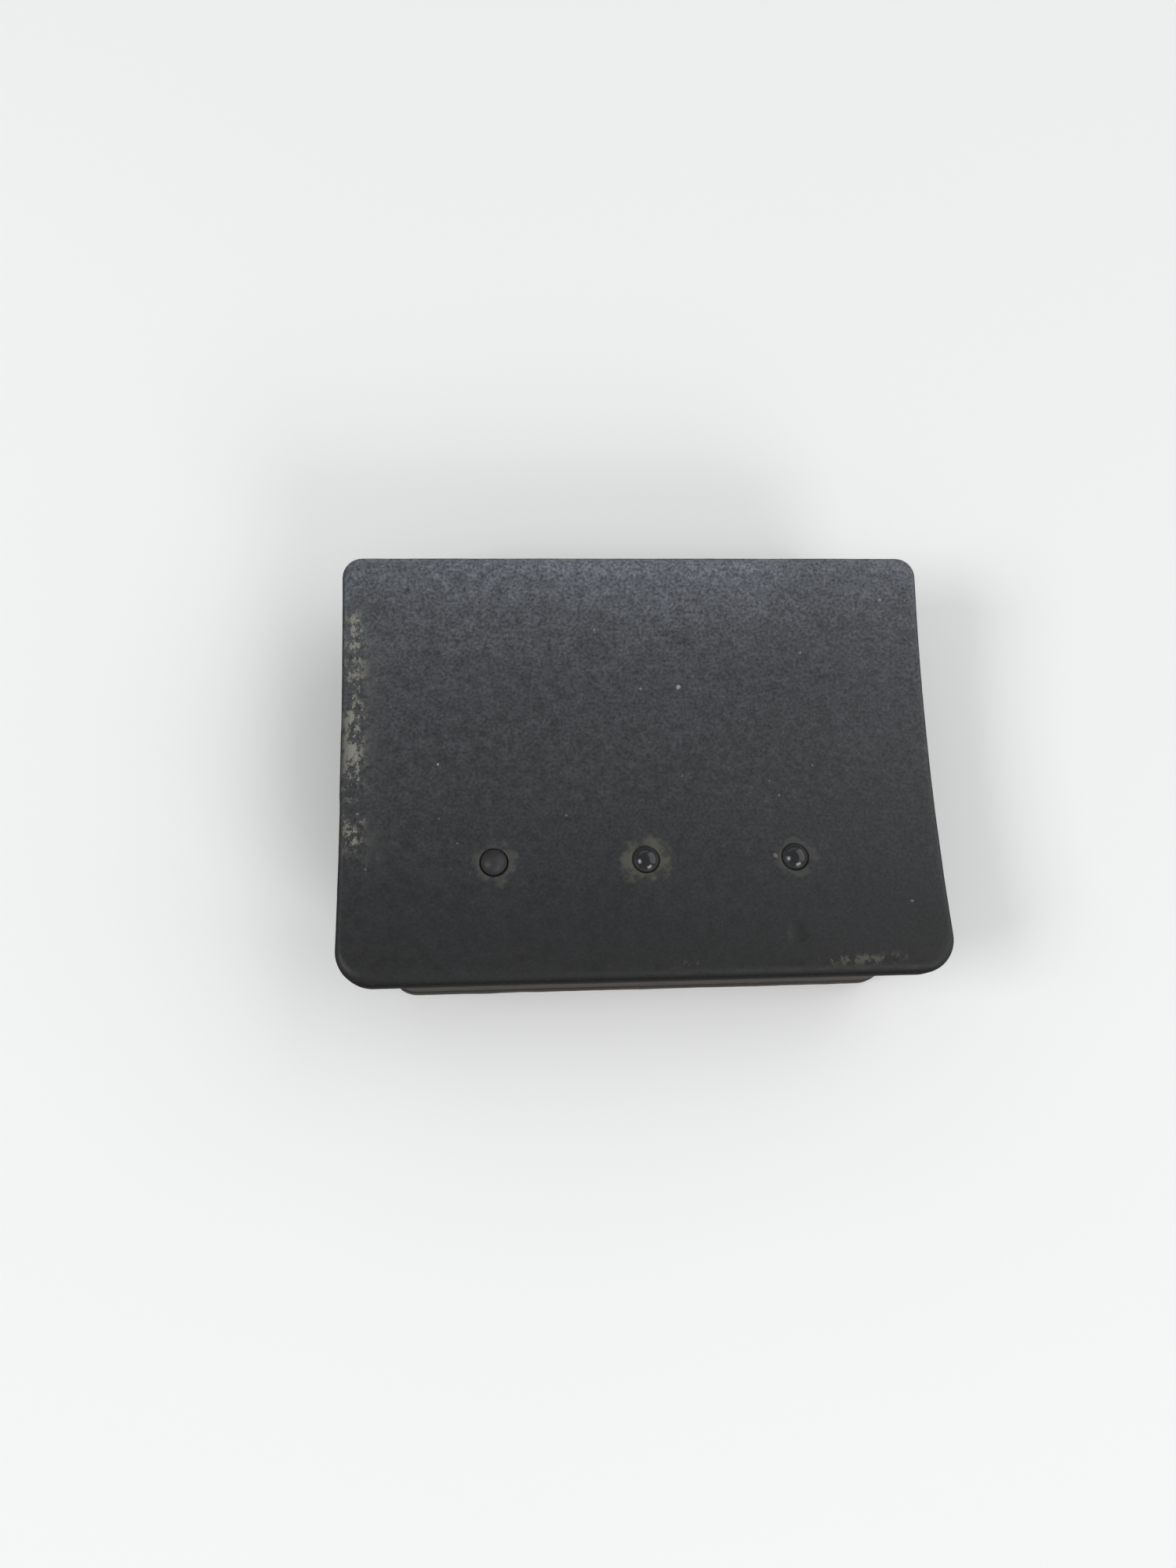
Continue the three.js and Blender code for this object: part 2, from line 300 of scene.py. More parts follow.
def cut_grid(piece, low, high, pitch):
    """Cuts every face with evenly spaced planes across X and Y."""
    choose_all(piece)
    for axis in (0, 1):
        count = int((high[axis] - low[axis]) / pitch)
        for step in range(1, count):
            place, normal = Vector(), Vector()
            place[axis] = low[axis] + (high[axis] - low[axis]) * step / count
            normal[axis] = 1
            bpy.ops.mesh.select_all(action="SELECT")
            bpy.ops.mesh.bisect(plane_co=place, plane_no=normal, threshold=CUT_TOLERANCE)
    bpy.ops.object.mode_set(mode="OBJECT")


cut_grid(cover, cover_low, cover_high, COVER_GRID)
print("cover faces after the grid:", len(cover.data.polygons))

# %% Lower the top into the dish
lower_rounding_ends = underside + lower_round + 0.05 * MM
for vertex in cover.data.vertices:
    if vertex.co.z > lower_rounding_ends:
        vertex.co.z += dish(vertex.co.y)
cover.data.update()
print("cover top lies between, mm:", [round(v / MM, 2) for v in (crest + dish(0), crest)])

# %% [markdown]
# Each bead shows through a round mouth. The mouth's rim is worn smooth, and a rim bevel would trip over
# the small faces of the grid, so the roundness is built into the cutter instead: a post that flares out
# near the surface. It leans with the dish, so that the flare is even all round. A knock near the front
# edge has left a shallow round dent, cut at the same time.

# %% Cut the bead mouths and the dent
MOUTH_RADIUS = {"left": 2.28 * MM, "centre": 2.2 * MM, "right": 2.2 * MM}
POST_DEPTH = 1 * MM
# (how much wider than the mouth, height above the top's surface), in mm, from the bottom up
FLARE = (
    (0.0, -0.42), (0.03, -0.26), (0.09, -0.13), (0.2, -0.04), (0.42, 0.03), (0.9, 0.06), (0.9, 1.2),
)
DENT_PLACE = (23.8 * MM, -28.8 * MM)
DENT_RADIUS = 1.4 * MM
DENT_DEPTH = 0.16 * MM
BEAD_CENTRE = {side: sum(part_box("bead_" + side), Vector()) / 2 for side in SIDES}


def surface_height(y):
    return crest + dish(y)


def add_mouth_cutter(side):
    """A flared post, upright at the origin, then leaned and moved to its bead."""
    radius = MOUTH_RADIUS[side]
    height = FLARE[0][1]
    bpy.ops.object.select_all(action="DESELECT")
    bpy.ops.mesh.primitive_cylinder_add(
        vertices=64, radius=radius, depth=POST_DEPTH, location=(0, 0, height * MM - POST_DEPTH / 2)
    )
    cutter = named("mouth_cutter_" + side)
    choose(cutter, "FACE", lambda face, place: face.normal.z > 0.9)
    widest = radius
    for spread, level in FLARE[1:]:
        grown = radius + spread * MM
        bpy.ops.mesh.extrude_region_move(
            TRANSFORM_OT_translate={"value": (0, 0, (level - height) * MM)}
        )
        bpy.ops.transform.resize(value=(grown / widest, grown / widest, 1))
        widest, height = grown, level
    activate(cutter)
    centre = BEAD_CENTRE[side]
    cutter.location = (centre.x, centre.y, surface_height(centre.y))
    cutter.rotation_euler.x = math.atan(centre.y / dish_radius)
    bpy.ops.object.transform_apply(location=True, rotation=True, scale=True)
    return cutter


def add_dent_cutter(x, y, radius, depth):
    """A large ball that dips a little way into the top, and so leaves a shallow round dent."""
    ball = (radius ** 2 + depth ** 2) / (2 * depth)
    height = surface_height(y) + ball - depth
    bpy.ops.object.select_all(action="DESELECT")
    bpy.ops.mesh.primitive_uv_sphere_add(
        segments=96, ring_count=64, radius=ball, location=(x, y, height)
    )
    return named("dent_cutter")


mouth_cutters = [add_mouth_cutter(side) for side in SIDES]
dent_cutter = add_dent_cutter(*DENT_PLACE, DENT_RADIUS, DENT_DEPTH)
combine(cover, mouth_cutters + [dent_cutter], "DIFFERENCE")
print("bead mouths and dent cut")

# %% [markdown]
# Underneath, the cover has what holds it to the rest: a rib that fits inside the tray, four bosses with
# brass inserts, three sockets for the beads and two small screw holes. They take their places from the
# pieces that they fit, so nothing can drift apart.

# %% Rib, bosses and sockets under the cover
# A tool reaches this far past the face that it cuts or joins.
PAST = 0.5 * MM
SNUG = 0.05 * MM
CLEAR = 0.1 * MM
GAP = 0.3 * MM
INSERT_HEADROOM = 0.4 * MM
TRAY_WALL = 3 * MM
INNER_CORNER = 1.4 * MM
RIB_HEIGHT = 2 * MM
RIB_THICKNESS = 1.6 * MM
BOSS_WALL = 1.8 * MM
CARRIER_SCREW_HOLE = 0.9 * MM
CORNER_NUMBERS = (1, 2, 3, 4)


def add_rounded_block(name, low, high, corner, segments=10):
    block = add_block(name, low, high)
    round_edges(block, is_upright(block), corner, segments)
    return block


def inside_tray(name, inset, bottom, top):
    """A block that fills the tray's inside less an inset, between two heights."""
    low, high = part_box("base_tray")
    shrink = Vector((TRAY_WALL + inset, TRAY_WALL + inset, 0))
    low, high = low + shrink, high - shrink
    low.z, high.z = bottom, top
    return add_rounded_block(name, low, high, INNER_CORNER)


def centre_and_radius(node):
    low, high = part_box(node)
    return (low + high) / 2, (high.x - low.x) / 2


rib = inside_tray("rib", GAP, underside - RIB_HEIGHT, underside + PAST)
rib_hollow = inside_tray(
    "rib_hollow", GAP + RIB_THICKNESS, underside - 2 * RIB_HEIGHT, underside + 2 * PAST
)
combine(rib, [rib_hollow], "DIFFERENCE")
joined_on = [rib]
cut_out = []
for number in CORNER_NUMBERS:
    node = f"threaded_insert_{number}"
    centre, radius = centre_and_radius(node)
    hole = radius + SNUG
    hole_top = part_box(node)[1].z + INSERT_HEADROOM
    joined_on.append(add_post("boss", centre, hole + BOSS_WALL, cover_low.z, underside + PAST))
    cut_out.append(add_post("insert_hole", centre, hole, cover_low.z - PAST, hole_top))
for side in SIDES:
    centre, radius = centre_and_radius("bead_seal_" + side)
    lip_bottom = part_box("bead_seal_" + side)[1].z + SNUG
    cut_out.append(add_post("socket", centre, radius + CLEAR, underside - PAST, lip_bottom))
for side in ("left", "right"):
    node = "carrier_screw_" + side
    centre, _ = centre_and_radius(node)
    screw_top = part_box(node)[1].z + CLEAR
    cut_out.append(add_post("screw_hole", centre, CARRIER_SCREW_HOLE, underside - PAST, screw_top))
combine(cover, joined_on, "UNION")
combine(cover, cut_out, "DIFFERENCE")
print("cover faces with rib, bosses and sockets:", len(cover.data.polygons))

# %% [markdown]
# A real moulding is never perfectly flat: it has shallow sinks and, on a road, small knocks. Two displace
# modifiers move the outer surface by a few hundredths of a millimetre, once in broad waves and once in
# small dents. A vertex group keeps them off the underside, where the fits are.

# %% Waviness and small knocks in the cover
# Round a mouth the surface stays still this far out, and then gives way over a fade.
CALM_RADIUS = 2.9 * MM
CALM_FADE = 1.5 * MM


def weight_group(piece, name, share):
    """A vertex group whose weight is worked out from each point's place."""
    group = piece.vertex_groups.new(name=name)
    for vertex in piece.data.vertices:
        weight = max(0.0, min(1.0, share(vertex.co)))
        if weight > 0:
            group.add([vertex.index], weight, "REPLACE")
    return group.name


def clouds(name, size, depth=2):
    texture = bpy.data.textures.new(name, "CLOUDS")
    texture.noise_scale = size
    texture.noise_depth = depth
    return texture


def mouth_distance(point):
    return min((point.xy - centre.xy).length for centre in BEAD_CENTRE.values())


def outer_surface(point):
    if point.z < underside + 0.5 * MM:
        return 0.0
    return (mouth_distance(point) - CALM_RADIUS) / CALM_FADE


outer = weight_group(cover, "outer_surface", outer_surface)
for name, scale, strength in (("broad_waves", 14 * MM, 0.09 * MM), ("small_dents", 2.2 * MM, 0.05 * MM)):
    apply_modifier(
        cover, "DISPLACE", texture=clouds(name, scale), strength=strength,
        mid_level=1.0, texture_coords="LOCAL", vertex_group=outer,
    )
finish_piece(cover, ["cover"])

# %% [markdown]
# ## The base tray
#
# The tray is a brown moulding with an open top, four posts for the screws and recesses below them for
# the screw heads. It starts as a block with rounded corners, is hollowed from above, and then gets its
# posts and holes.

# %% The tray's block and its rounded edges
TRAY_CORNER = 3.4 * MM
TRAY_FOOT_ROUND = 0.5 * MM
TRAY_RIM_ROUND = 0.4 * MM
TRAY_GRID = 1.2 * MM
tray_low, tray_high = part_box("base_tray")
tray = add_rounded_block("base_moulding", tray_low, tray_high, TRAY_CORNER)


def lies_at(piece, height):
    """A test for level edges at one height."""
    def test(edge, place):
        ends = (piece.data.vertices[index].co for index in edge.vertices)
        return all(abs(end.z - height) < SAME_PLACE for end in ends)
    return test


round_edges(tray, lies_at(tray, tray_low.z), TRAY_FOOT_ROUND, 4)
round_edges(tray, lies_at(tray, tray_high.z), TRAY_RIM_ROUND, 4)


def cut_levels(piece, low, high, pitch):
    """Cuts every face with evenly spaced level planes."""
    count = max(2, round((high.z - low.z) / pitch))
    choose_all(piece)
    for step in range(1, count):
        height = low.z + (high.z - low.z) * step / count
        bpy.ops.mesh.select_all(action="SELECT")
        bpy.ops.mesh.bisect(
            plane_co=(0, 0, height), plane_no=(0, 0, 1), threshold=CUT_TOLERANCE
        )
    bpy.ops.object.mode_set(mode="OBJECT")


cut_grid(tray, tray_low, tray_high, TRAY_GRID)
cut_levels(tray, tray_low, tray_high, TRAY_GRID)
print("tray block faces:", len(tray.data.polygons))

# %% Hollow the tray and add its posts
TRAY_FLOOR = 2 * MM
HEAD_GAP = 0.3 * MM
POST_WALL = 1.7 * MM
SCREW_WAY = 1.7 * MM
OUTER_SKIN = 0.6 * MM
floor_top = tray_low.z + TRAY_FLOOR
combine(tray, [inside_tray("tray_hollow", 0, floor_top, tray_high.z + PAST)], "DIFFERENCE")
post_top = cover_low.z
posts, ways, recesses = [], [], []
for number in CORNER_NUMBERS:
    centre, head = centre_and_radius(f"base_screw_{number}")
    recess = head + HEAD_GAP
    posts.append(add_post("post", centre, recess + POST_WALL, floor_top - PAST, post_top))
    ways.append(add_post("screw_way", centre, SCREW_WAY, tray_low.z - PAST, post_top + PAST))
    recesses.append(add_post("head_recess", centre, recess, tray_low.z - PAST, floor_top))
combine(tray, posts, "UNION")
combine(tray, ways, "DIFFERENCE")
combine(tray, recesses, "DIFFERENCE")


def tray_side(point):
    """1 on the tray's outer walls, 0 inside and underneath."""
    depth_in = min(tray_high.x - abs(point.x), tray_high.y - abs(point.y))
    level = min(point.z - tray_low.z, tray_high.z - point.z)
    return 1.0 if depth_in < OUTER_SKIN and level > SNUG else 0.0


walls = weight_group(tray, "outer_walls", tray_side)
apply_modifier(
    tray, "DISPLACE", texture=clouds("moulding_sinks", 5 * MM, 3), strength=0.14 * MM,
    mid_level=1.0, texture_coords="LOCAL", vertex_group=walls,
)
finish_piece(tray, ["base_tray"])

# %% [markdown]
# ## The adhesive pad
#
# The pad is butyl, a soft and very sticky rubber. Pressed between the tray and the road it bulges a
# little, and its edge is never quite straight. The rim is rounded, the sides are cut into a grid, and a
# displace modifier pulls them in unevenly. The top and bottom stay flat, because both are stuck down.

# %% The pad
PAD_CORNER = 3.6 * MM
PAD_ROUND = 0.9 * MM
PAD_GRID = 0.9 * MM
PAD_LEVELS = 0.8 * MM
# The pull on the sides has died away this far in, over the fade before it.
PAD_PULL_DEPTH = 1.2 * MM
PAD_PULL_FADE = 0.9 * MM
PAD_FLAT = 0.02 * MM
pad_low, pad_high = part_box("adhesive_pad")
pad = add_rounded_block("butyl_pad", pad_low, pad_high, PAD_CORNER)
round_edges(pad, lies_at(pad, pad_low.z), PAD_ROUND, 6)
round_edges(pad, lies_at(pad, pad_high.z), PAD_ROUND, 6)
cut_grid(pad, pad_low, pad_high, PAD_GRID)
cut_levels(pad, pad_low, pad_high, PAD_LEVELS)


def pad_side(point):
    """1 on the pad's sides, fading inwards, and 0 on its top and bottom."""
    depth_in = min(pad_high.x - abs(point.x), pad_high.y - abs(point.y))
    level = min(point.z - pad_low.z, pad_high.z - point.z)
    return (PAD_PULL_DEPTH - depth_in) / PAD_PULL_FADE if level > PAD_FLAT else 0.0


sides = weight_group(pad, "sides", pad_side)
for name, scale, strength in (("squeeze", 9 * MM, 0.24 * MM), ("drag_marks", 1.6 * MM, 0.08 * MM)):
    apply_modifier(
        pad, "DISPLACE", texture=clouds(name, scale, 3), strength=strength,
        mid_level=1.0, texture_coords="LOCAL", vertex_group=sides,
    )
finish_piece(pad, ["adhesive_pad"], 60)

# %% [markdown]
# ## The gasket
#
# A flat rubber ring fills the joint between tray and cover. Clamped, its edge bulges into a soft round.

# %% The gasket
GASKET_CORNER = 3 * MM
GASKET_ROUND = 0.3 * MM
gasket_low, gasket_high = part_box("cover_gasket")
gasket = add_rounded_block("joint_gasket", gasket_low, gasket_high, GASKET_CORNER)
round_edges(gasket, lies_at(gasket, gasket_low.z), GASKET_ROUND, 4)
round_edges(gasket, lies_at(gasket, gasket_high.z), GASKET_ROUND, 4)
gasket_hollow = inside_tray("gasket_hollow", 0, gasket_low.z - PAST, gasket_high.z + PAST)
combine(gasket, [gasket_hollow], "DIFFERENCE")
finish_piece(gasket, ["cover_gasket"])

# %% [markdown]
# ## Beads and seals
#
# Each bead is a ball of glass, with a narrow ground band round its middle that seats it in its seal. Wear
# has pitted the part that shows, and the left bead, which is the dullest, has the deepest pits.

# %% The beads
PITS = {"left": 0.05 * MM, "centre": 0.012 * MM, "right": 0.018 * MM}
GROUND_BAND = 0.22 * MM


def make_bead(side):
    centre, radius = centre_and_radius("bead_" + side)
    bpy.ops.object.select_all(action="DESELECT")
    bpy.ops.mesh.primitive_uv_sphere_add(
        segments=96, ring_count=64, radius=radius, location=centre
    )
    bead = named("glass_bead_" + side)
    round_edges(bead, lies_at(bead, centre.z), GROUND_BAND, 1)
    exposed = weight_group(bead, "exposed", lambda point: (point.z - centre.z) / (0.5 * radius))
    apply_modifier(
        bead, "DISPLACE", texture=clouds("pits_" + side, 0.5 * MM, 4), strength=PITS[side],
        mid_level=1.0, texture_coords="LOCAL", vertex_group=exposed,
    )
    return finish_piece(bead, ["bead_" + side], 60)


bead_pieces = {side: make_bead(side) for side in SIDES}

# %% The bead seals
SEAL_ROUND = 0.12 * MM


def make_seal(side):
    """A rubber ring: a disc, holed, with its four rims rounded."""
    node = "bead_seal_" + side
    low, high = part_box(node)
    centre, radius = centre_and_radius(node)
    _, bead_radius = centre_and_radius("bead_" + side)
    seal = add_post("seal_ring_" + side, centre, radius, low.z, high.z)
    hole = add_post("seal_hole", centre, bead_radius + SNUG, low.z - PAST, high.z + PAST)
    combine(seal, [hole], "DIFFERENCE")
    for height in (low.z, high.z):
        round_edges(seal, lies_at(seal, height), SEAL_ROUND, 3)
    return finish_piece(seal, [node])


seal_pieces = [make_seal(side) for side in SIDES]

# %% [markdown]
# ## Finishes
#
# Every finish is a small node tree. Colours are picked as sRGB hex values and turned to linear light by
# one function. Patterns read Object coordinates, which are in metres here, so a pattern's scale is one
# over the real size of its features. One small function adds a node with its settings and links. The Mix
# node has several inputs of the same name, so those are given by number.

# %% Helpers for materials
def colour(code):
    """An sRGB hex colour in the linear values that a shader takes."""
    parts = [int(code[place:place + 2], 16) / 255 for place in (1, 3, 5)]
    linear = [part / 12.92 if part <= 0.04045 else ((part + 0.055) / 1.055) ** 2.4 for part in parts]
    return (*linear, 1.0)


def per(size):
    """The scale of a pattern whose features have this size in millimetres."""
    return 1 / (size * MM)


def add_node(tree, kind, inputs=None, **settings):
    """Adds a node. Each input takes a value, or the output of another node."""
    made = tree.nodes.new(kind)
    for name, value in settings.items():
        setattr(made, name, value)
    for socket, source in (inputs or {}).items():
        if isinstance(source, bpy.types.NodeSocket):
            tree.links.new(source, made.inputs[socket])
        else:
            made.inputs[socket].default_value = source
    return made


def start_finish(name, **shader_values):
    """A material with a shader, and the place on the object that its patterns read."""
    material = bpy.data.materials.new(name)
    material.use_nodes = True
    tree = material.node_tree
    tree.nodes.clear()
    shader = add_node(tree, "ShaderNodeBsdfPrincipled", shader_values)
    add_node(tree, "ShaderNodeOutputMaterial", {"Surface": shader.outputs["BSDF"]})
    place = add_node(tree, "ShaderNodeTexCoord").outputs["Object"]
    return material, tree, shader, place


def distance_in_plan(tree, place, point):
    """How far each place is from a point, seen from above."""
    offset = add_node(tree, "ShaderNodeVectorMath", {0: place, 1: point}, operation="SUBTRACT")
    flat = add_node(
        tree, "ShaderNodeVectorMath", {0: offset.outputs[0], 1: (1, 1, 0)}, operation="MULTIPLY"
    )
    length = add_node(tree, "ShaderNodeVectorMath", {0: flat.outputs[0]}, operation="LENGTH")
    return length.outputs["Value"]


def give(material, *pieces):
    """Puts the material in each piece's slots. A new piece gets its first slot."""
    for piece in pieces:
        if not piece.material_slots:
            piece.data.materials.append(material)
        for slot in piece.material_slots:
            slot.material = material


# The Mix node's sockets for colours, and its inputs for single numbers.
MIX_A, MIX_B, MIX_RESULT = 6, 7, 2
NUMBER_A, NUMBER_B = 2, 3
print("material helpers ready")

# %% [markdown]
# ### The cover's black plastic
#
# The cover is black moulded plastic, the kind of tough ABS blend that housings are made of, with a fine
# spark-eroded grain. Clean, it would be nearly even. Its top is painted paler and bluer towards the back
# edge: a painted sheen, where the light glances off the far part of the top, together with a blue-grey
# bloom from weather. Use has added a worn patch along the left edge, scuffs on the front edge, stray grit
# and a dusty ring round each bead. Each is a mask, worked out from the place on the cover, that lets a
# paler colour through. The walls keep a porous film, which is rougher and has less gloss.

# %% The cover's grain, painted sheen and bloom
LEVEL_ROUND_BEAD = 4 * MM


def mark_lean(piece):
    """Stores how far the surface leans: 0 where level, 1 on a wall, and 0 near the beads."""
    lean = piece.data.attributes.new("lean", "FLOAT", "POINT")
    for vertex in piece.data.vertices:
        outside = mouth_distance(vertex.co) > LEVEL_ROUND_BEAD
        lean.data[vertex.index].value = 1 - max(0.0, vertex.normal.z) if outside else 0.0


mark_lean(cover)
abs_black, tree, shader, place = start_finish("moulded_abs_black", IOR=1.53)
grain = add_node(tree, "ShaderNodeTexNoise", {
    "Vector": place, "Scale": per(0.5), "Detail": 3.0, "Roughness": 0.6}).outputs["Fac"]
mottle = add_node(tree, "ShaderNodeTexNoise", {
    "Vector": place, "Scale": per(2.2), "Detail": 4.0, "Roughness": 0.6}).outputs["Fac"]
cloud = add_node(tree, "ShaderNodeTexNoise", {
    "Vector": place, "Scale": per(22), "Detail": 4.0, "Roughness": 0.6}).outputs["Fac"]
position = add_node(tree, "ShaderNodeSeparateXYZ", {0: place})
# The painted sheen and the bloom thicken from the front edge to the back edge. Noise bends their bands.
bend = add_node(tree, "ShaderNodeMath", {0: cloud, 1: 14 * MM, 2: -7 * MM}, operation="MULTIPLY_ADD")
bent = add_node(tree, "ShaderNodeMath", {0: position.outputs["Y"], 1: bend.outputs[0]})
along = add_node(tree, "ShaderNodeMapRange", {
    "Value": bent.outputs[0], "From Min": -half_depth, "From Max": half_depth})
sheen_and_bloom = add_node(tree, "ShaderNodeValToRGB", {"Fac": along.outputs["Result"]})
# These colours paint the sheen of the light on the far part of the top together with the bloom.
SHEEN_AND_BLOOM = ((0.0, "#0c0c0d"), (0.17, "#17181a"), (0.43, "#292a2c"), (0.70, "#35373a"), (0.86, "#43464b"),
         (0.95, "#52565c"), (1.0, "#5d6168"))
for _ in SHEEN_AND_BLOOM[2:]:
    sheen_and_bloom.color_ramp.elements.new(0.5)
for stop, (stop_place, shade) in zip(sheen_and_bloom.color_ramp.elements, SHEEN_AND_BLOOM):
    stop.position = stop_place
    stop.color = colour(shade)
# The grain and the mottling make that colour paler and darker.
grain_gain = add_node(tree, "ShaderNodeMapRange", {
    "Value": grain, "From Min": 0.3, "From Max": 0.7, "To Min": 0.3, "To Max": 1.7})
mottle_gain = add_node(tree, "ShaderNodeMapRange", {
    "Value": mottle, "From Min": 0.3, "From Max": 0.7, "To Min": 0.73, "To Max": 1.27})
gain = add_node(tree, "ShaderNodeMath", {
    0: grain_gain.outputs["Result"], 1: mottle_gain.outputs["Result"]}, operation="MULTIPLY")
# The painted sheen and the bloom lie on the top only, so the walls stay black.
lean = add_node(tree, "ShaderNodeAttribute", attribute_name="lean").outputs["Fac"]
wall = add_node(tree, "ShaderNodeMapRange", {
    "Value": lean, "From Min": 0.1, "From Max": 0.6}, interpolation_type="SMOOTHSTEP")
body = add_node(tree, "ShaderNodeMix", {
    0: wall.outputs["Result"], MIX_A: sheen_and_bloom.outputs["Color"], MIX_B: colour("#111112")}, data_type="RGBA")
# The grain scales the cover's colour, its painted sheen and bloom included.
grained_sheen_and_bloom = add_node(tree, "ShaderNodeVectorMath", {
    0: body.outputs[MIX_RESULT], "Scale": gain.outputs[0]}, operation="SCALE")
print("nodes for grain and bloom:", len(tree.nodes))

# %% [markdown]
# A ring of dust clings round each bead. Its edge is ragged, because noise is added to the distance from
# the bead before that distance is turned into a mask.

# %% Dusty rings round the beads
# (strength, outer edge in mm, colour) of each ring
HALO = {
    "left": (0.65, 3.9, "#484642"), "centre": (0.9, 4.4, "#4a4a40"), "right": (0.5, 3.6, "#464641"),
}
HALO_INNER = 2.4 * MM
ragged = add_node(tree, "ShaderNodeMath", {0: mottle, 1: 8 * MM, 2: -4 * MM}, operation="MULTIPLY_ADD")
surface_colour = grained_sheen_and_bloom.outputs["Vector"]
for side in SIDES:
    strength, outer_edge, shade = HALO[side]
    distance = distance_in_plan(tree, place, BEAD_CENTRE[side])
    warped = add_node(tree, "ShaderNodeMath", {0: distance, 1: ragged.outputs[0]})
    ring = add_node(tree, "ShaderNodeMapRange", {
        "Value": warped.outputs[0], "From Min": outer_edge * MM, "From Max": HALO_INNER,
        "To Max": strength}, interpolation_type="SMOOTHSTEP")
    surface_colour = add_node(tree, "ShaderNodeMix", {
        0: ring.outputs["Result"], MIX_A: surface_colour, MIX_B: colour(shade)},
        data_type="RGBA").outputs[MIX_RESULT]
print("nodes with the rings:", len(tree.nodes))

# %% [markdown]
# Wear follows use: the left edge has rubbed against something, so the black is scraped off the high
# points of the grain there, less and less towards the middle. The front edge has a few paler scuffs, and
# paler patches run along the back rim.

# %% Wear along the edges
tall = add_node(tree, "ShaderNodeMapping", {"Vector": place, "Scale": (1, 0.65, 1)})
scrape = add_node(tree, "ShaderNodeTexNoise", {
    "Vector": tall.outputs[0], "Scale": per(1.15), "Detail": 7.0, "Roughness": 0.8}).outputs["Fac"]
patch = add_node(tree, "ShaderNodeTexNoise", {
    "Vector": place, "Scale": per(7), "Detail": 2.0}).outputs["Fac"]


def between(axis, low, high, soft):
    """1 between two places on an axis, fading to 0 over a soft margin at both ends."""
    rise = add_node(tree, "ShaderNodeMapRange", {
        "Value": position.outputs[axis], "From Min": (low - soft) * MM, "From Max": (low + soft) * MM},
        interpolation_type="SMOOTHSTEP")
    fall = add_node(tree, "ShaderNodeMapRange", {
        "Value": position.outputs[axis], "From Min": (high + soft) * MM, "From Max": (high - soft) * MM},
        interpolation_type="SMOOTHSTEP")
    return add_node(tree, "ShaderNodeMath", {
        0: rise.outputs["Result"], 1: fall.outputs["Result"]}, operation="MULTIPLY").outputs[0]


def product(first, second):
    return add_node(tree, "ShaderNodeMath", {0: first, 1: second}, operation="MULTIPLY").outputs[0]


# (name, X from and to, Y from and to, softness, strength, least noise that shows, fade, colour), in mm
WEAR = (
    ("left_flecks", (-48.7, -46.4), (-14, 26), 1.4, 1.0, 0.525, 0.035, "#a3a092"),
    ("left_film", (-50, -44), (-18, 28), 3.2, 0.55, 0.42, 0.20, "#4e4d4a"),
    ("front_scuffs", (27, 41), (-34.5, -33.6), 1.0, 0.85, 0.52, 0.07, "#605e52"),
    ("front_specks", (1, 16), (-34.4, -33.7), 0.8, 0.5, 0.58, 0.06, "#5a5851"),
    ("back_rim", (-46, 46), (35.6, 36.6), 0.8, 0.7, 0.50, 0.08, "#7d7a72"),
)
patchy = add_node(tree, "ShaderNodeMath", {0: patch, 1: 0.5, 2: -0.25}, operation="MULTIPLY_ADD")
level = add_node(tree, "ShaderNodeMath", {0: scrape, 1: patchy.outputs[0]})
for name, (left, right), (front, back), soft, strength, least, fade, shade in WEAR:
    area = product(between("X", left, right, soft), between("Y", front, back, soft))
    shown = add_node(tree, "ShaderNodeMapRange", {
        "Value": level.outputs[0], "From Min": least, "From Max": least + fade, "To Max": strength},
        interpolation_type="SMOOTHSTEP", label=name)
    surface_colour = add_node(tree, "ShaderNodeMix", {
        0: product(area, shown.outputs["Result"]), MIX_A: surface_colour, MIX_B: colour(shade)},
        data_type="RGBA").outputs[MIX_RESULT]
print("nodes with the wear:", len(tree.nodes))

# %% [markdown]
# Some marks are single: larger bits of grit, a chip by the right bead, and a dark spot of painted shade in
# the dent near the front. Smaller grit is scattered thinly. For that, a Voronoi pattern gives each cell
# one point, and only the few cells whose point lies almost on the surface show a speck.

# %% Single marks, grit and gloss
# (X, Y, radius, strength, colour), sizes in mm
MARKS = (
    (6.9, 13.0, 0.36, 0.9, "#8e8f8d"), (28.4, 19.0, 0.2, 0.7, "#8f8d85"),
    (23.0, -6.1, 0.2, 0.7, "#8f8d85"), (0.4, 12.8, 0.18, 0.6, "#8c8b86"),
    (-7.2, 23.2, 0.18, 0.7, "#94938e"), (43.0, 28.3, 0.26, 0.7, "#8a887f"),
    (-12.8, -9.1, 0.22, 0.6, "#7d7b70"), (-33.8, 0.0, 0.2, 0.8, "#9a9a98"),
    (43.4, -24.7, 0.22, 0.6, "#7c7a72"), (21.5, -16.5, 0.4, 0.8, "#6e6a5d"),
    # The last mark is painted shade: a dark spot that stands for the shade in the shallow dent.
    (23.8, -28.8, 1.3, 0.6, "#0d0d0e"),
)
wobble = add_node(tree, "ShaderNodeMath", {0: grain, 1: 0.8 * MM, 2: -0.4 * MM}, operation="MULTIPLY_ADD")
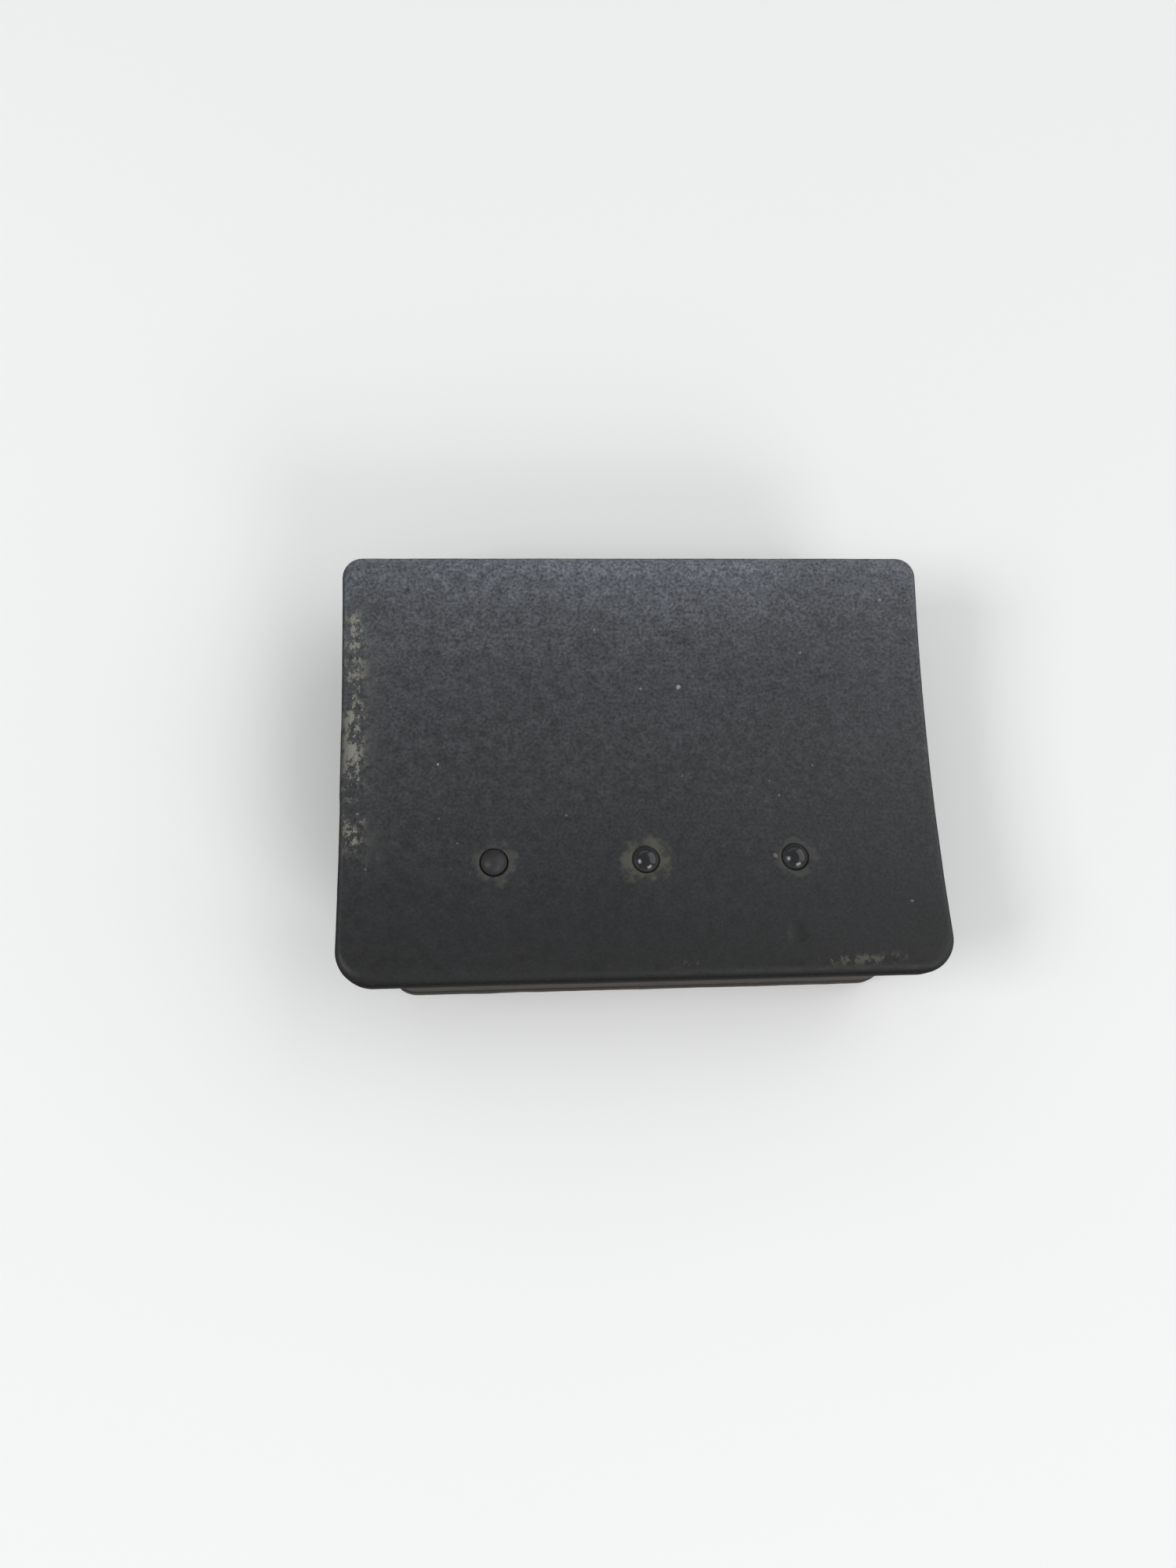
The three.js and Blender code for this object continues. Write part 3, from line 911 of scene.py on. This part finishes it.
for x, y, radius, strength, shade in MARKS:
    distance = distance_in_plan(tree, place, (x * MM, y * MM, 0))
    warped = add_node(tree, "ShaderNodeMath", {0: distance, 1: wobble.outputs[0]})
    mark = add_node(tree, "ShaderNodeMapRange", {
        "Value": warped.outputs[0], "From Min": 1.25 * radius * MM, "From Max": 0.6 * radius * MM,
        "To Max": strength}, interpolation_type="SMOOTHSTEP")
    surface_colour = add_node(tree, "ShaderNodeMix", {
        0: mark.outputs["Result"], MIX_A: surface_colour, MIX_B: colour(shade)},
        data_type="RGBA").outputs[MIX_RESULT]
cells = add_node(tree, "ShaderNodeTexVoronoi", {"Vector": place, "Scale": per(5.5)})
speck = add_node(tree, "ShaderNodeMapRange", {
    "Value": cells.outputs["Distance"], "From Min": 0.034, "From Max": 0.02, "To Max": 0.6})
surface_colour = add_node(tree, "ShaderNodeMix", {
    0: speck.outputs["Result"], MIX_A: surface_colour, MIX_B: colour("#7d7b72")},
    data_type="RGBA").outputs[MIX_RESULT]
tree.links.new(surface_colour, shader.inputs["Base Color"])
# The walls' porous film is rougher and has less gloss than the top.
dull = add_node(tree, "ShaderNodeMapRange", {
    "Value": mottle, "From Min": 0.35, "From Max": 0.65, "To Min": 0.46, "To Max": 0.6})
duller = add_node(tree, "ShaderNodeMix", {0: lean, NUMBER_A: dull.outputs["Result"], NUMBER_B: 0.85})
tree.links.new(duller.outputs[0], shader.inputs["Roughness"])
gloss = add_node(tree, "ShaderNodeMapRange", {
    "Value": lean, "From Max": 0.5, "To Min": 0.5, "To Max": 0.1})
tree.links.new(gloss.outputs["Result"], shader.inputs["Specular IOR Level"])
relief = add_node(tree, "ShaderNodeMath", {0: mottle, 1: 1.6, 2: grain}, operation="MULTIPLY_ADD")
bump = add_node(tree, "ShaderNodeBump", {
    "Height": relief.outputs[0], "Distance": 0.024 * MM})
tree.links.new(bump.outputs["Normal"], shader.inputs["Normal"])
give(abs_black, cover)
print("cover finish nodes:", len(tree.nodes))

# %% [markdown]
# ### The tray's brown plastic and the pad's butyl
#
# The tray is a filled plastic with a coarse, dusty skin. Its fine lines run level, as the drag marks of
# a mould do, so the pattern is squeezed in height. Butyl is dark, dull and picks up grit.

# %% Tray finish
filled_plastic, tree, shader, place = start_finish("filled_plastic_brown", IOR=1.5)
squeeze = add_node(tree, "ShaderNodeMapping", {"Vector": place, "Scale": (0.25, 0.25, 1.6)})
lines = add_node(tree, "ShaderNodeTexNoise", {
    "Vector": squeeze.outputs[0], "Scale": per(1.5), "Detail": 5.0, "Roughness": 0.7}).outputs["Fac"]
grit = add_node(tree, "ShaderNodeTexNoise", {
    "Vector": place, "Scale": per(0.5), "Detail": 3.0, "Roughness": 0.6}).outputs["Fac"]
line_share = add_node(tree, "ShaderNodeMapRange", {"Value": lines, "From Min": 0.35, "From Max": 0.68})
grit_share = add_node(tree, "ShaderNodeMapRange", {
    "Value": grit, "From Min": 0.4, "From Max": 0.7, "To Max": 0.6})
body = add_node(tree, "ShaderNodeMix", {
    0: line_share.outputs[0], MIX_A: colour("#1b1510"), MIX_B: colour("#2e261e")}, data_type="RGBA")
gritty = add_node(tree, "ShaderNodeMix", {
    0: grit_share.outputs[0], MIX_A: body.outputs[MIX_RESULT], MIX_B: colour("#362e25")}, data_type="RGBA")
height = add_node(tree, "ShaderNodeSeparateXYZ", {0: place})
top_line = add_node(tree, "ShaderNodeMapRange", {
    "Value": height.outputs["Z"], "From Min": tray_high.z - 2.6 * MM, "From Max": tray_high.z - 0.8 * MM,
    "To Max": 0.5}, interpolation_type="SMOOTHSTEP")
dusted = add_node(tree, "ShaderNodeMix", {
    0: top_line.outputs[0], MIX_A: gritty.outputs[MIX_RESULT], MIX_B: colour("#463e35")}, data_type="RGBA")
tree.links.new(dusted.outputs[MIX_RESULT], shader.inputs["Base Color"])
rough = add_node(tree, "ShaderNodeMapRange", {"Value": grit, "To Min": 0.7, "To Max": 0.9})
tree.links.new(rough.outputs[0], shader.inputs["Roughness"])
both = add_node(tree, "ShaderNodeMath", {0: lines, 1: 1.5, 2: grit}, operation="MULTIPLY_ADD")
bump = add_node(tree, "ShaderNodeBump", {"Height": both.outputs[0], "Distance": 0.08 * MM})
tree.links.new(bump.outputs["Normal"], shader.inputs["Normal"])
give(filled_plastic, tray)
print("tray finish nodes:", len(tree.nodes))

# %% Pad finish
butyl, tree, shader, place = start_finish("pressed_butyl", IOR=1.51)
smear = add_node(tree, "ShaderNodeTexNoise", {
    "Vector": place, "Scale": per(3), "Detail": 5.0, "Roughness": 0.65}).outputs["Fac"]
grit = add_node(tree, "ShaderNodeTexNoise", {
    "Vector": place, "Scale": per(0.6), "Detail": 2.0}).outputs["Fac"]
grit_share = add_node(tree, "ShaderNodeMapRange", {
    "Value": grit, "From Min": 0.55, "From Max": 0.7, "To Max": 0.7})
smeared = add_node(tree, "ShaderNodeMix", {
    0: smear, MIX_A: colour("#16120e"), MIX_B: colour("#2c251e")}, data_type="RGBA")
gritty = add_node(tree, "ShaderNodeMix", {
    0: grit_share.outputs[0], MIX_A: smeared.outputs[MIX_RESULT], MIX_B: colour("#393127")},
    data_type="RGBA")
tree.links.new(gritty.outputs[MIX_RESULT], shader.inputs["Base Color"])
rough = add_node(tree, "ShaderNodeMapRange", {"Value": smear, "To Min": 0.62, "To Max": 0.9})
tree.links.new(rough.outputs[0], shader.inputs["Roughness"])
both = add_node(tree, "ShaderNodeMath", {0: smear, 1: 2.0, 2: grit}, operation="MULTIPLY_ADD")
bump = add_node(tree, "ShaderNodeBump", {"Height": both.outputs[0], "Distance": 0.1 * MM})
tree.links.new(bump.outputs["Normal"], shader.inputs["Normal"])
give(butyl, pad)
print("pad finish nodes:", len(tree.nodes))

# %% [markdown]
# ### Rubber for the gasket
#
# Moulded rubber is nearly black, and dull because its skin is full of tiny pores.

# %% Rubber finish
rubber, tree, shader, place = start_finish("moulded_rubber", IOR=1.52)
pores = add_node(tree, "ShaderNodeTexNoise", {
    "Vector": place, "Scale": per(0.4), "Detail": 3.0}).outputs["Fac"]
skin = add_node(tree, "ShaderNodeMix", {
    0: pores, MIX_A: colour("#0f0f10"), MIX_B: colour("#252526")}, data_type="RGBA")
tree.links.new(skin.outputs[MIX_RESULT], shader.inputs["Base Color"])
rough = add_node(tree, "ShaderNodeMapRange", {"Value": pores, "To Min": 0.6, "To Max": 0.85})
tree.links.new(rough.outputs[0], shader.inputs["Roughness"])
bump = add_node(tree, "ShaderNodeBump", {"Height": pores, "Distance": 0.02 * MM})
tree.links.new(bump.outputs["Normal"], shader.inputs["Normal"])
give(rubber, gasket)
print("rubber finish nodes:", len(tree.nodes))

# %% [markdown]
# ### Glass for the beads
#
# The beads are small balls of dark glass: smooth, glossy and almost black from outside, because little
# light comes back out of a ball so small with dirt behind it. Wear dulls them unevenly, so each bead has
# its own amount of scuffing. Round the foot of its dome each is painted a flat, dull grey, as painted
# shade where the dome meets its mouth.

# %% Bead finish
SCUFF = {"left": 0.62, "centre": 0.15, "right": 0.18}


def make_glass(side):
    glass, tree, shader, place = start_finish("dark_glass_" + side, IOR=1.52)
    scuffs = add_node(tree, "ShaderNodeTexNoise", {
        "Vector": place, "Scale": per(0.9), "Detail": 5.0, "Roughness": 0.7}).outputs["Fac"]
    haze = add_node(tree, "ShaderNodeMapRange", {
        "Value": scuffs, "From Min": 0.42, "From Max": 0.66, "To Max": min(1.0, 2 * SCUFF[side])})
    tint = add_node(tree, "ShaderNodeMix", {
        0: haze.outputs[0], MIX_A: colour("#1a1b1d"), MIX_B: colour("#2b2b2e")}, data_type="RGBA")
    # Round the foot of the dome the colour turns a flat grey and the glass turns rough: painted shade
    # where the dome meets its mouth.
    distance = distance_in_plan(tree, place, BEAD_CENTRE[side])
    foot_shade = add_node(tree, "ShaderNodeMapRange", {
        "Value": distance, "From Min": 1.5 * MM, "From Max": 2.0 * MM},
        interpolation_type="SMOOTHSTEP")
    shaded_foot = add_node(tree, "ShaderNodeMix", {
        0: foot_shade.outputs["Result"], MIX_A: tint.outputs[MIX_RESULT], MIX_B: colour("#29292a")},
        data_type="RGBA")
    tree.links.new(shaded_foot.outputs[MIX_RESULT], shader.inputs["Base Color"])
    rough = add_node(tree, "ShaderNodeMapRange", {
        "Value": scuffs, "From Min": 0.3, "From Max": 0.7, "To Min": 0.6 * SCUFF[side],
        "To Max": 1.2 * SCUFF[side]})
    rougher = add_node(tree, "ShaderNodeMix", {
        0: foot_shade.outputs["Result"], NUMBER_A: rough.outputs[0], NUMBER_B: 0.75})
    tree.links.new(rougher.outputs[0], shader.inputs["Roughness"])
    bump = add_node(tree, "ShaderNodeBump", {"Height": scuffs, "Distance": 0.06 * SCUFF[side] * MM})
    tree.links.new(bump.outputs["Normal"], shader.inputs["Normal"])
    return glass


for side in SIDES:
    give(make_glass(side), bead_pieces[side])
print("bead finishes made")

# %% [markdown]
# ### The pieces inside
#
# The screws, inserts, cups, carrier and fill are hidden, and their engineering shapes are right, so they
# stay as they are and only get a finish. The metals differ in colour and in how they were worked. The
# bead seals are rubber too, but dust has settled on what shows of them in the gap round each bead.

# %% Finishes of the hidden pieces
def make_inner(name, dark, light, grain_size, roughness, metallic=0.0, ior=1.5, height=0.02):
    """A finish with two close colours mixed by one noise, which also sets roughness and height."""
    values = {"Metallic": metallic} if metallic else {"IOR": ior}
    finish, tree, shader, place = start_finish(name, **values)
    pattern = add_node(tree, "ShaderNodeTexNoise", {
        "Vector": place, "Scale": per(grain_size), "Detail": 4.0, "Roughness": 0.6}).outputs["Fac"]
    shades = add_node(tree, "ShaderNodeMix", {
        0: pattern, MIX_A: colour(dark), MIX_B: colour(light)}, data_type="RGBA")
    tree.links.new(shades.outputs[MIX_RESULT], shader.inputs["Base Color"])
    low, high = roughness
    rough = add_node(tree, "ShaderNodeMapRange", {"Value": pattern, "To Min": low, "To Max": high})
    tree.links.new(rough.outputs[0], shader.inputs["Roughness"])
    bump = add_node(tree, "ShaderNodeBump", {"Height": pattern, "Distance": height * MM})
    tree.links.new(bump.outputs["Normal"], shader.inputs["Normal"])
    return finish


# Cast resin full of sand is tan, coarse and quite dull.
resin = make_inner("cast_sand_resin", "#6f5f47", "#a8956f", 0.7, (0.8, 1.0), height=0.15)
# Moulded nylon is off-white, with a soft gloss.
nylon = make_inner("moulded_nylon", "#a5a297", "#bdbaae", 1.5, (0.4, 0.55))
# Drawn aluminium is pale and almost a mirror.
aluminium = make_inner("drawn_aluminium", "#b4b7ba", "#d4d6d8", 0.5, (0.15, 0.35), 1.0)
# Zinc plating is a greyer metal with a satin skin.
zinc = make_inner("zinc_plated_steel", "#8d9093", "#b3b6b9", 0.4, (0.25, 0.45), 1.0)
# Turned brass is yellow, with a fine tool finish.
brass = make_inner("turned_brass", "#9a7a3a", "#c9a45a", 0.4, (0.2, 0.4), 1.0)
INNER_FINISHES = (
    (resin, ("core_fill",)),
    (nylon, ("bead_carrier",)),
    (aluminium, ("reflector_cup",)),
    (zinc, ("carrier_screw", "base_screw")),
    (brass, ("threaded_insert",)),
)
# Road dust turns black rubber a dull grey-brown.
give(make_inner("dusty_rubber", "#2b2a28", "#454440", 0.4, (0.7, 0.9)), *seal_pieces)
for finish, starts in INNER_FINISHES:
    nodes = [piece for name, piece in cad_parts.items() if name.startswith(starts)]
    give(finish, *nodes)
    print(finish.name, "on", len(nodes), "pieces")

# %% [markdown]
# ## Floor and light
#
# The marker stands on a plain pale floor in a pale room, which fills the shadows. Two soft lights stand
# low on the left and in front, like windows. The dished top doesn't mirror either of them towards the
# camera, so it stays dark, but the round beads do, as small glints. A weak, very large light on the right
# lifts the right half of the top a little, and another low behind it draws the back rim.

# %% The floor
bpy.ops.object.select_all(action="DESELECT")
bpy.ops.mesh.primitive_plane_add(size=8, location=(0, 0, 0))
floor = named("floor")
matt_paint, tree, shader, place = start_finish("matt_white_paint", Roughness=0.9)
shade = add_node(tree, "ShaderNodeTexNoise", {
    "Vector": place, "Scale": per(300), "Detail": 2.0}).outputs["Fac"]
paint = add_node(tree, "ShaderNodeMix", {
    0: shade, MIX_A: colour("#f4f4f3"), MIX_B: colour("#f8f8f7")}, data_type="RGBA")
tree.links.new(paint.outputs[MIX_RESULT], shader.inputs["Base Color"])
give(matt_paint, floor)
print("floor laid")

# %% The room and the lights
world = bpy.data.worlds.new("pale_room")
bpy.context.scene.world = world
world.use_nodes = True
background = world.node_tree.nodes["Background"]
background.inputs["Color"].default_value = colour("#e6e8ea")
background.inputs["Strength"].default_value = 0.49

# (name, direction from the marker, distance in metres, width and height in metres, power in watts)
LIGHTS = (
    ("front_window", (0.451, -0.781, 0.425), 1.2, (0.62, 0.42), 5.0),
    ("left_window", (-0.772, -0.153, 0.617), 1.2, (0.56, 0.44), 5.4),
    ("right_softbox", (0.80, 0.25, 0.55), 1.4, (2.2, 1.4), 10.5),
    ("back_softbox", (-0.20, 0.90, 0.38), 1.3, (1.5, 0.5), 0.9),
)
for name, direction, distance, (width, height), power in LIGHTS:
    light_data = bpy.data.lights.new(name, "AREA")
    light_data.shape = "RECTANGLE"
    light_data.size, light_data.size_y = width, height
    light_data.energy = power
    light = bpy.data.objects.new(name, light_data)
    light.location = Vector(direction).normalized() * distance
    light.rotation_euler = Vector(direction).to_track_quat("Z", "Y").to_euler()
    bpy.context.scene.collection.objects.link(light)
bpy.context.scene.view_settings.view_transform = "Standard"
print("lights:", len(LIGHTS))
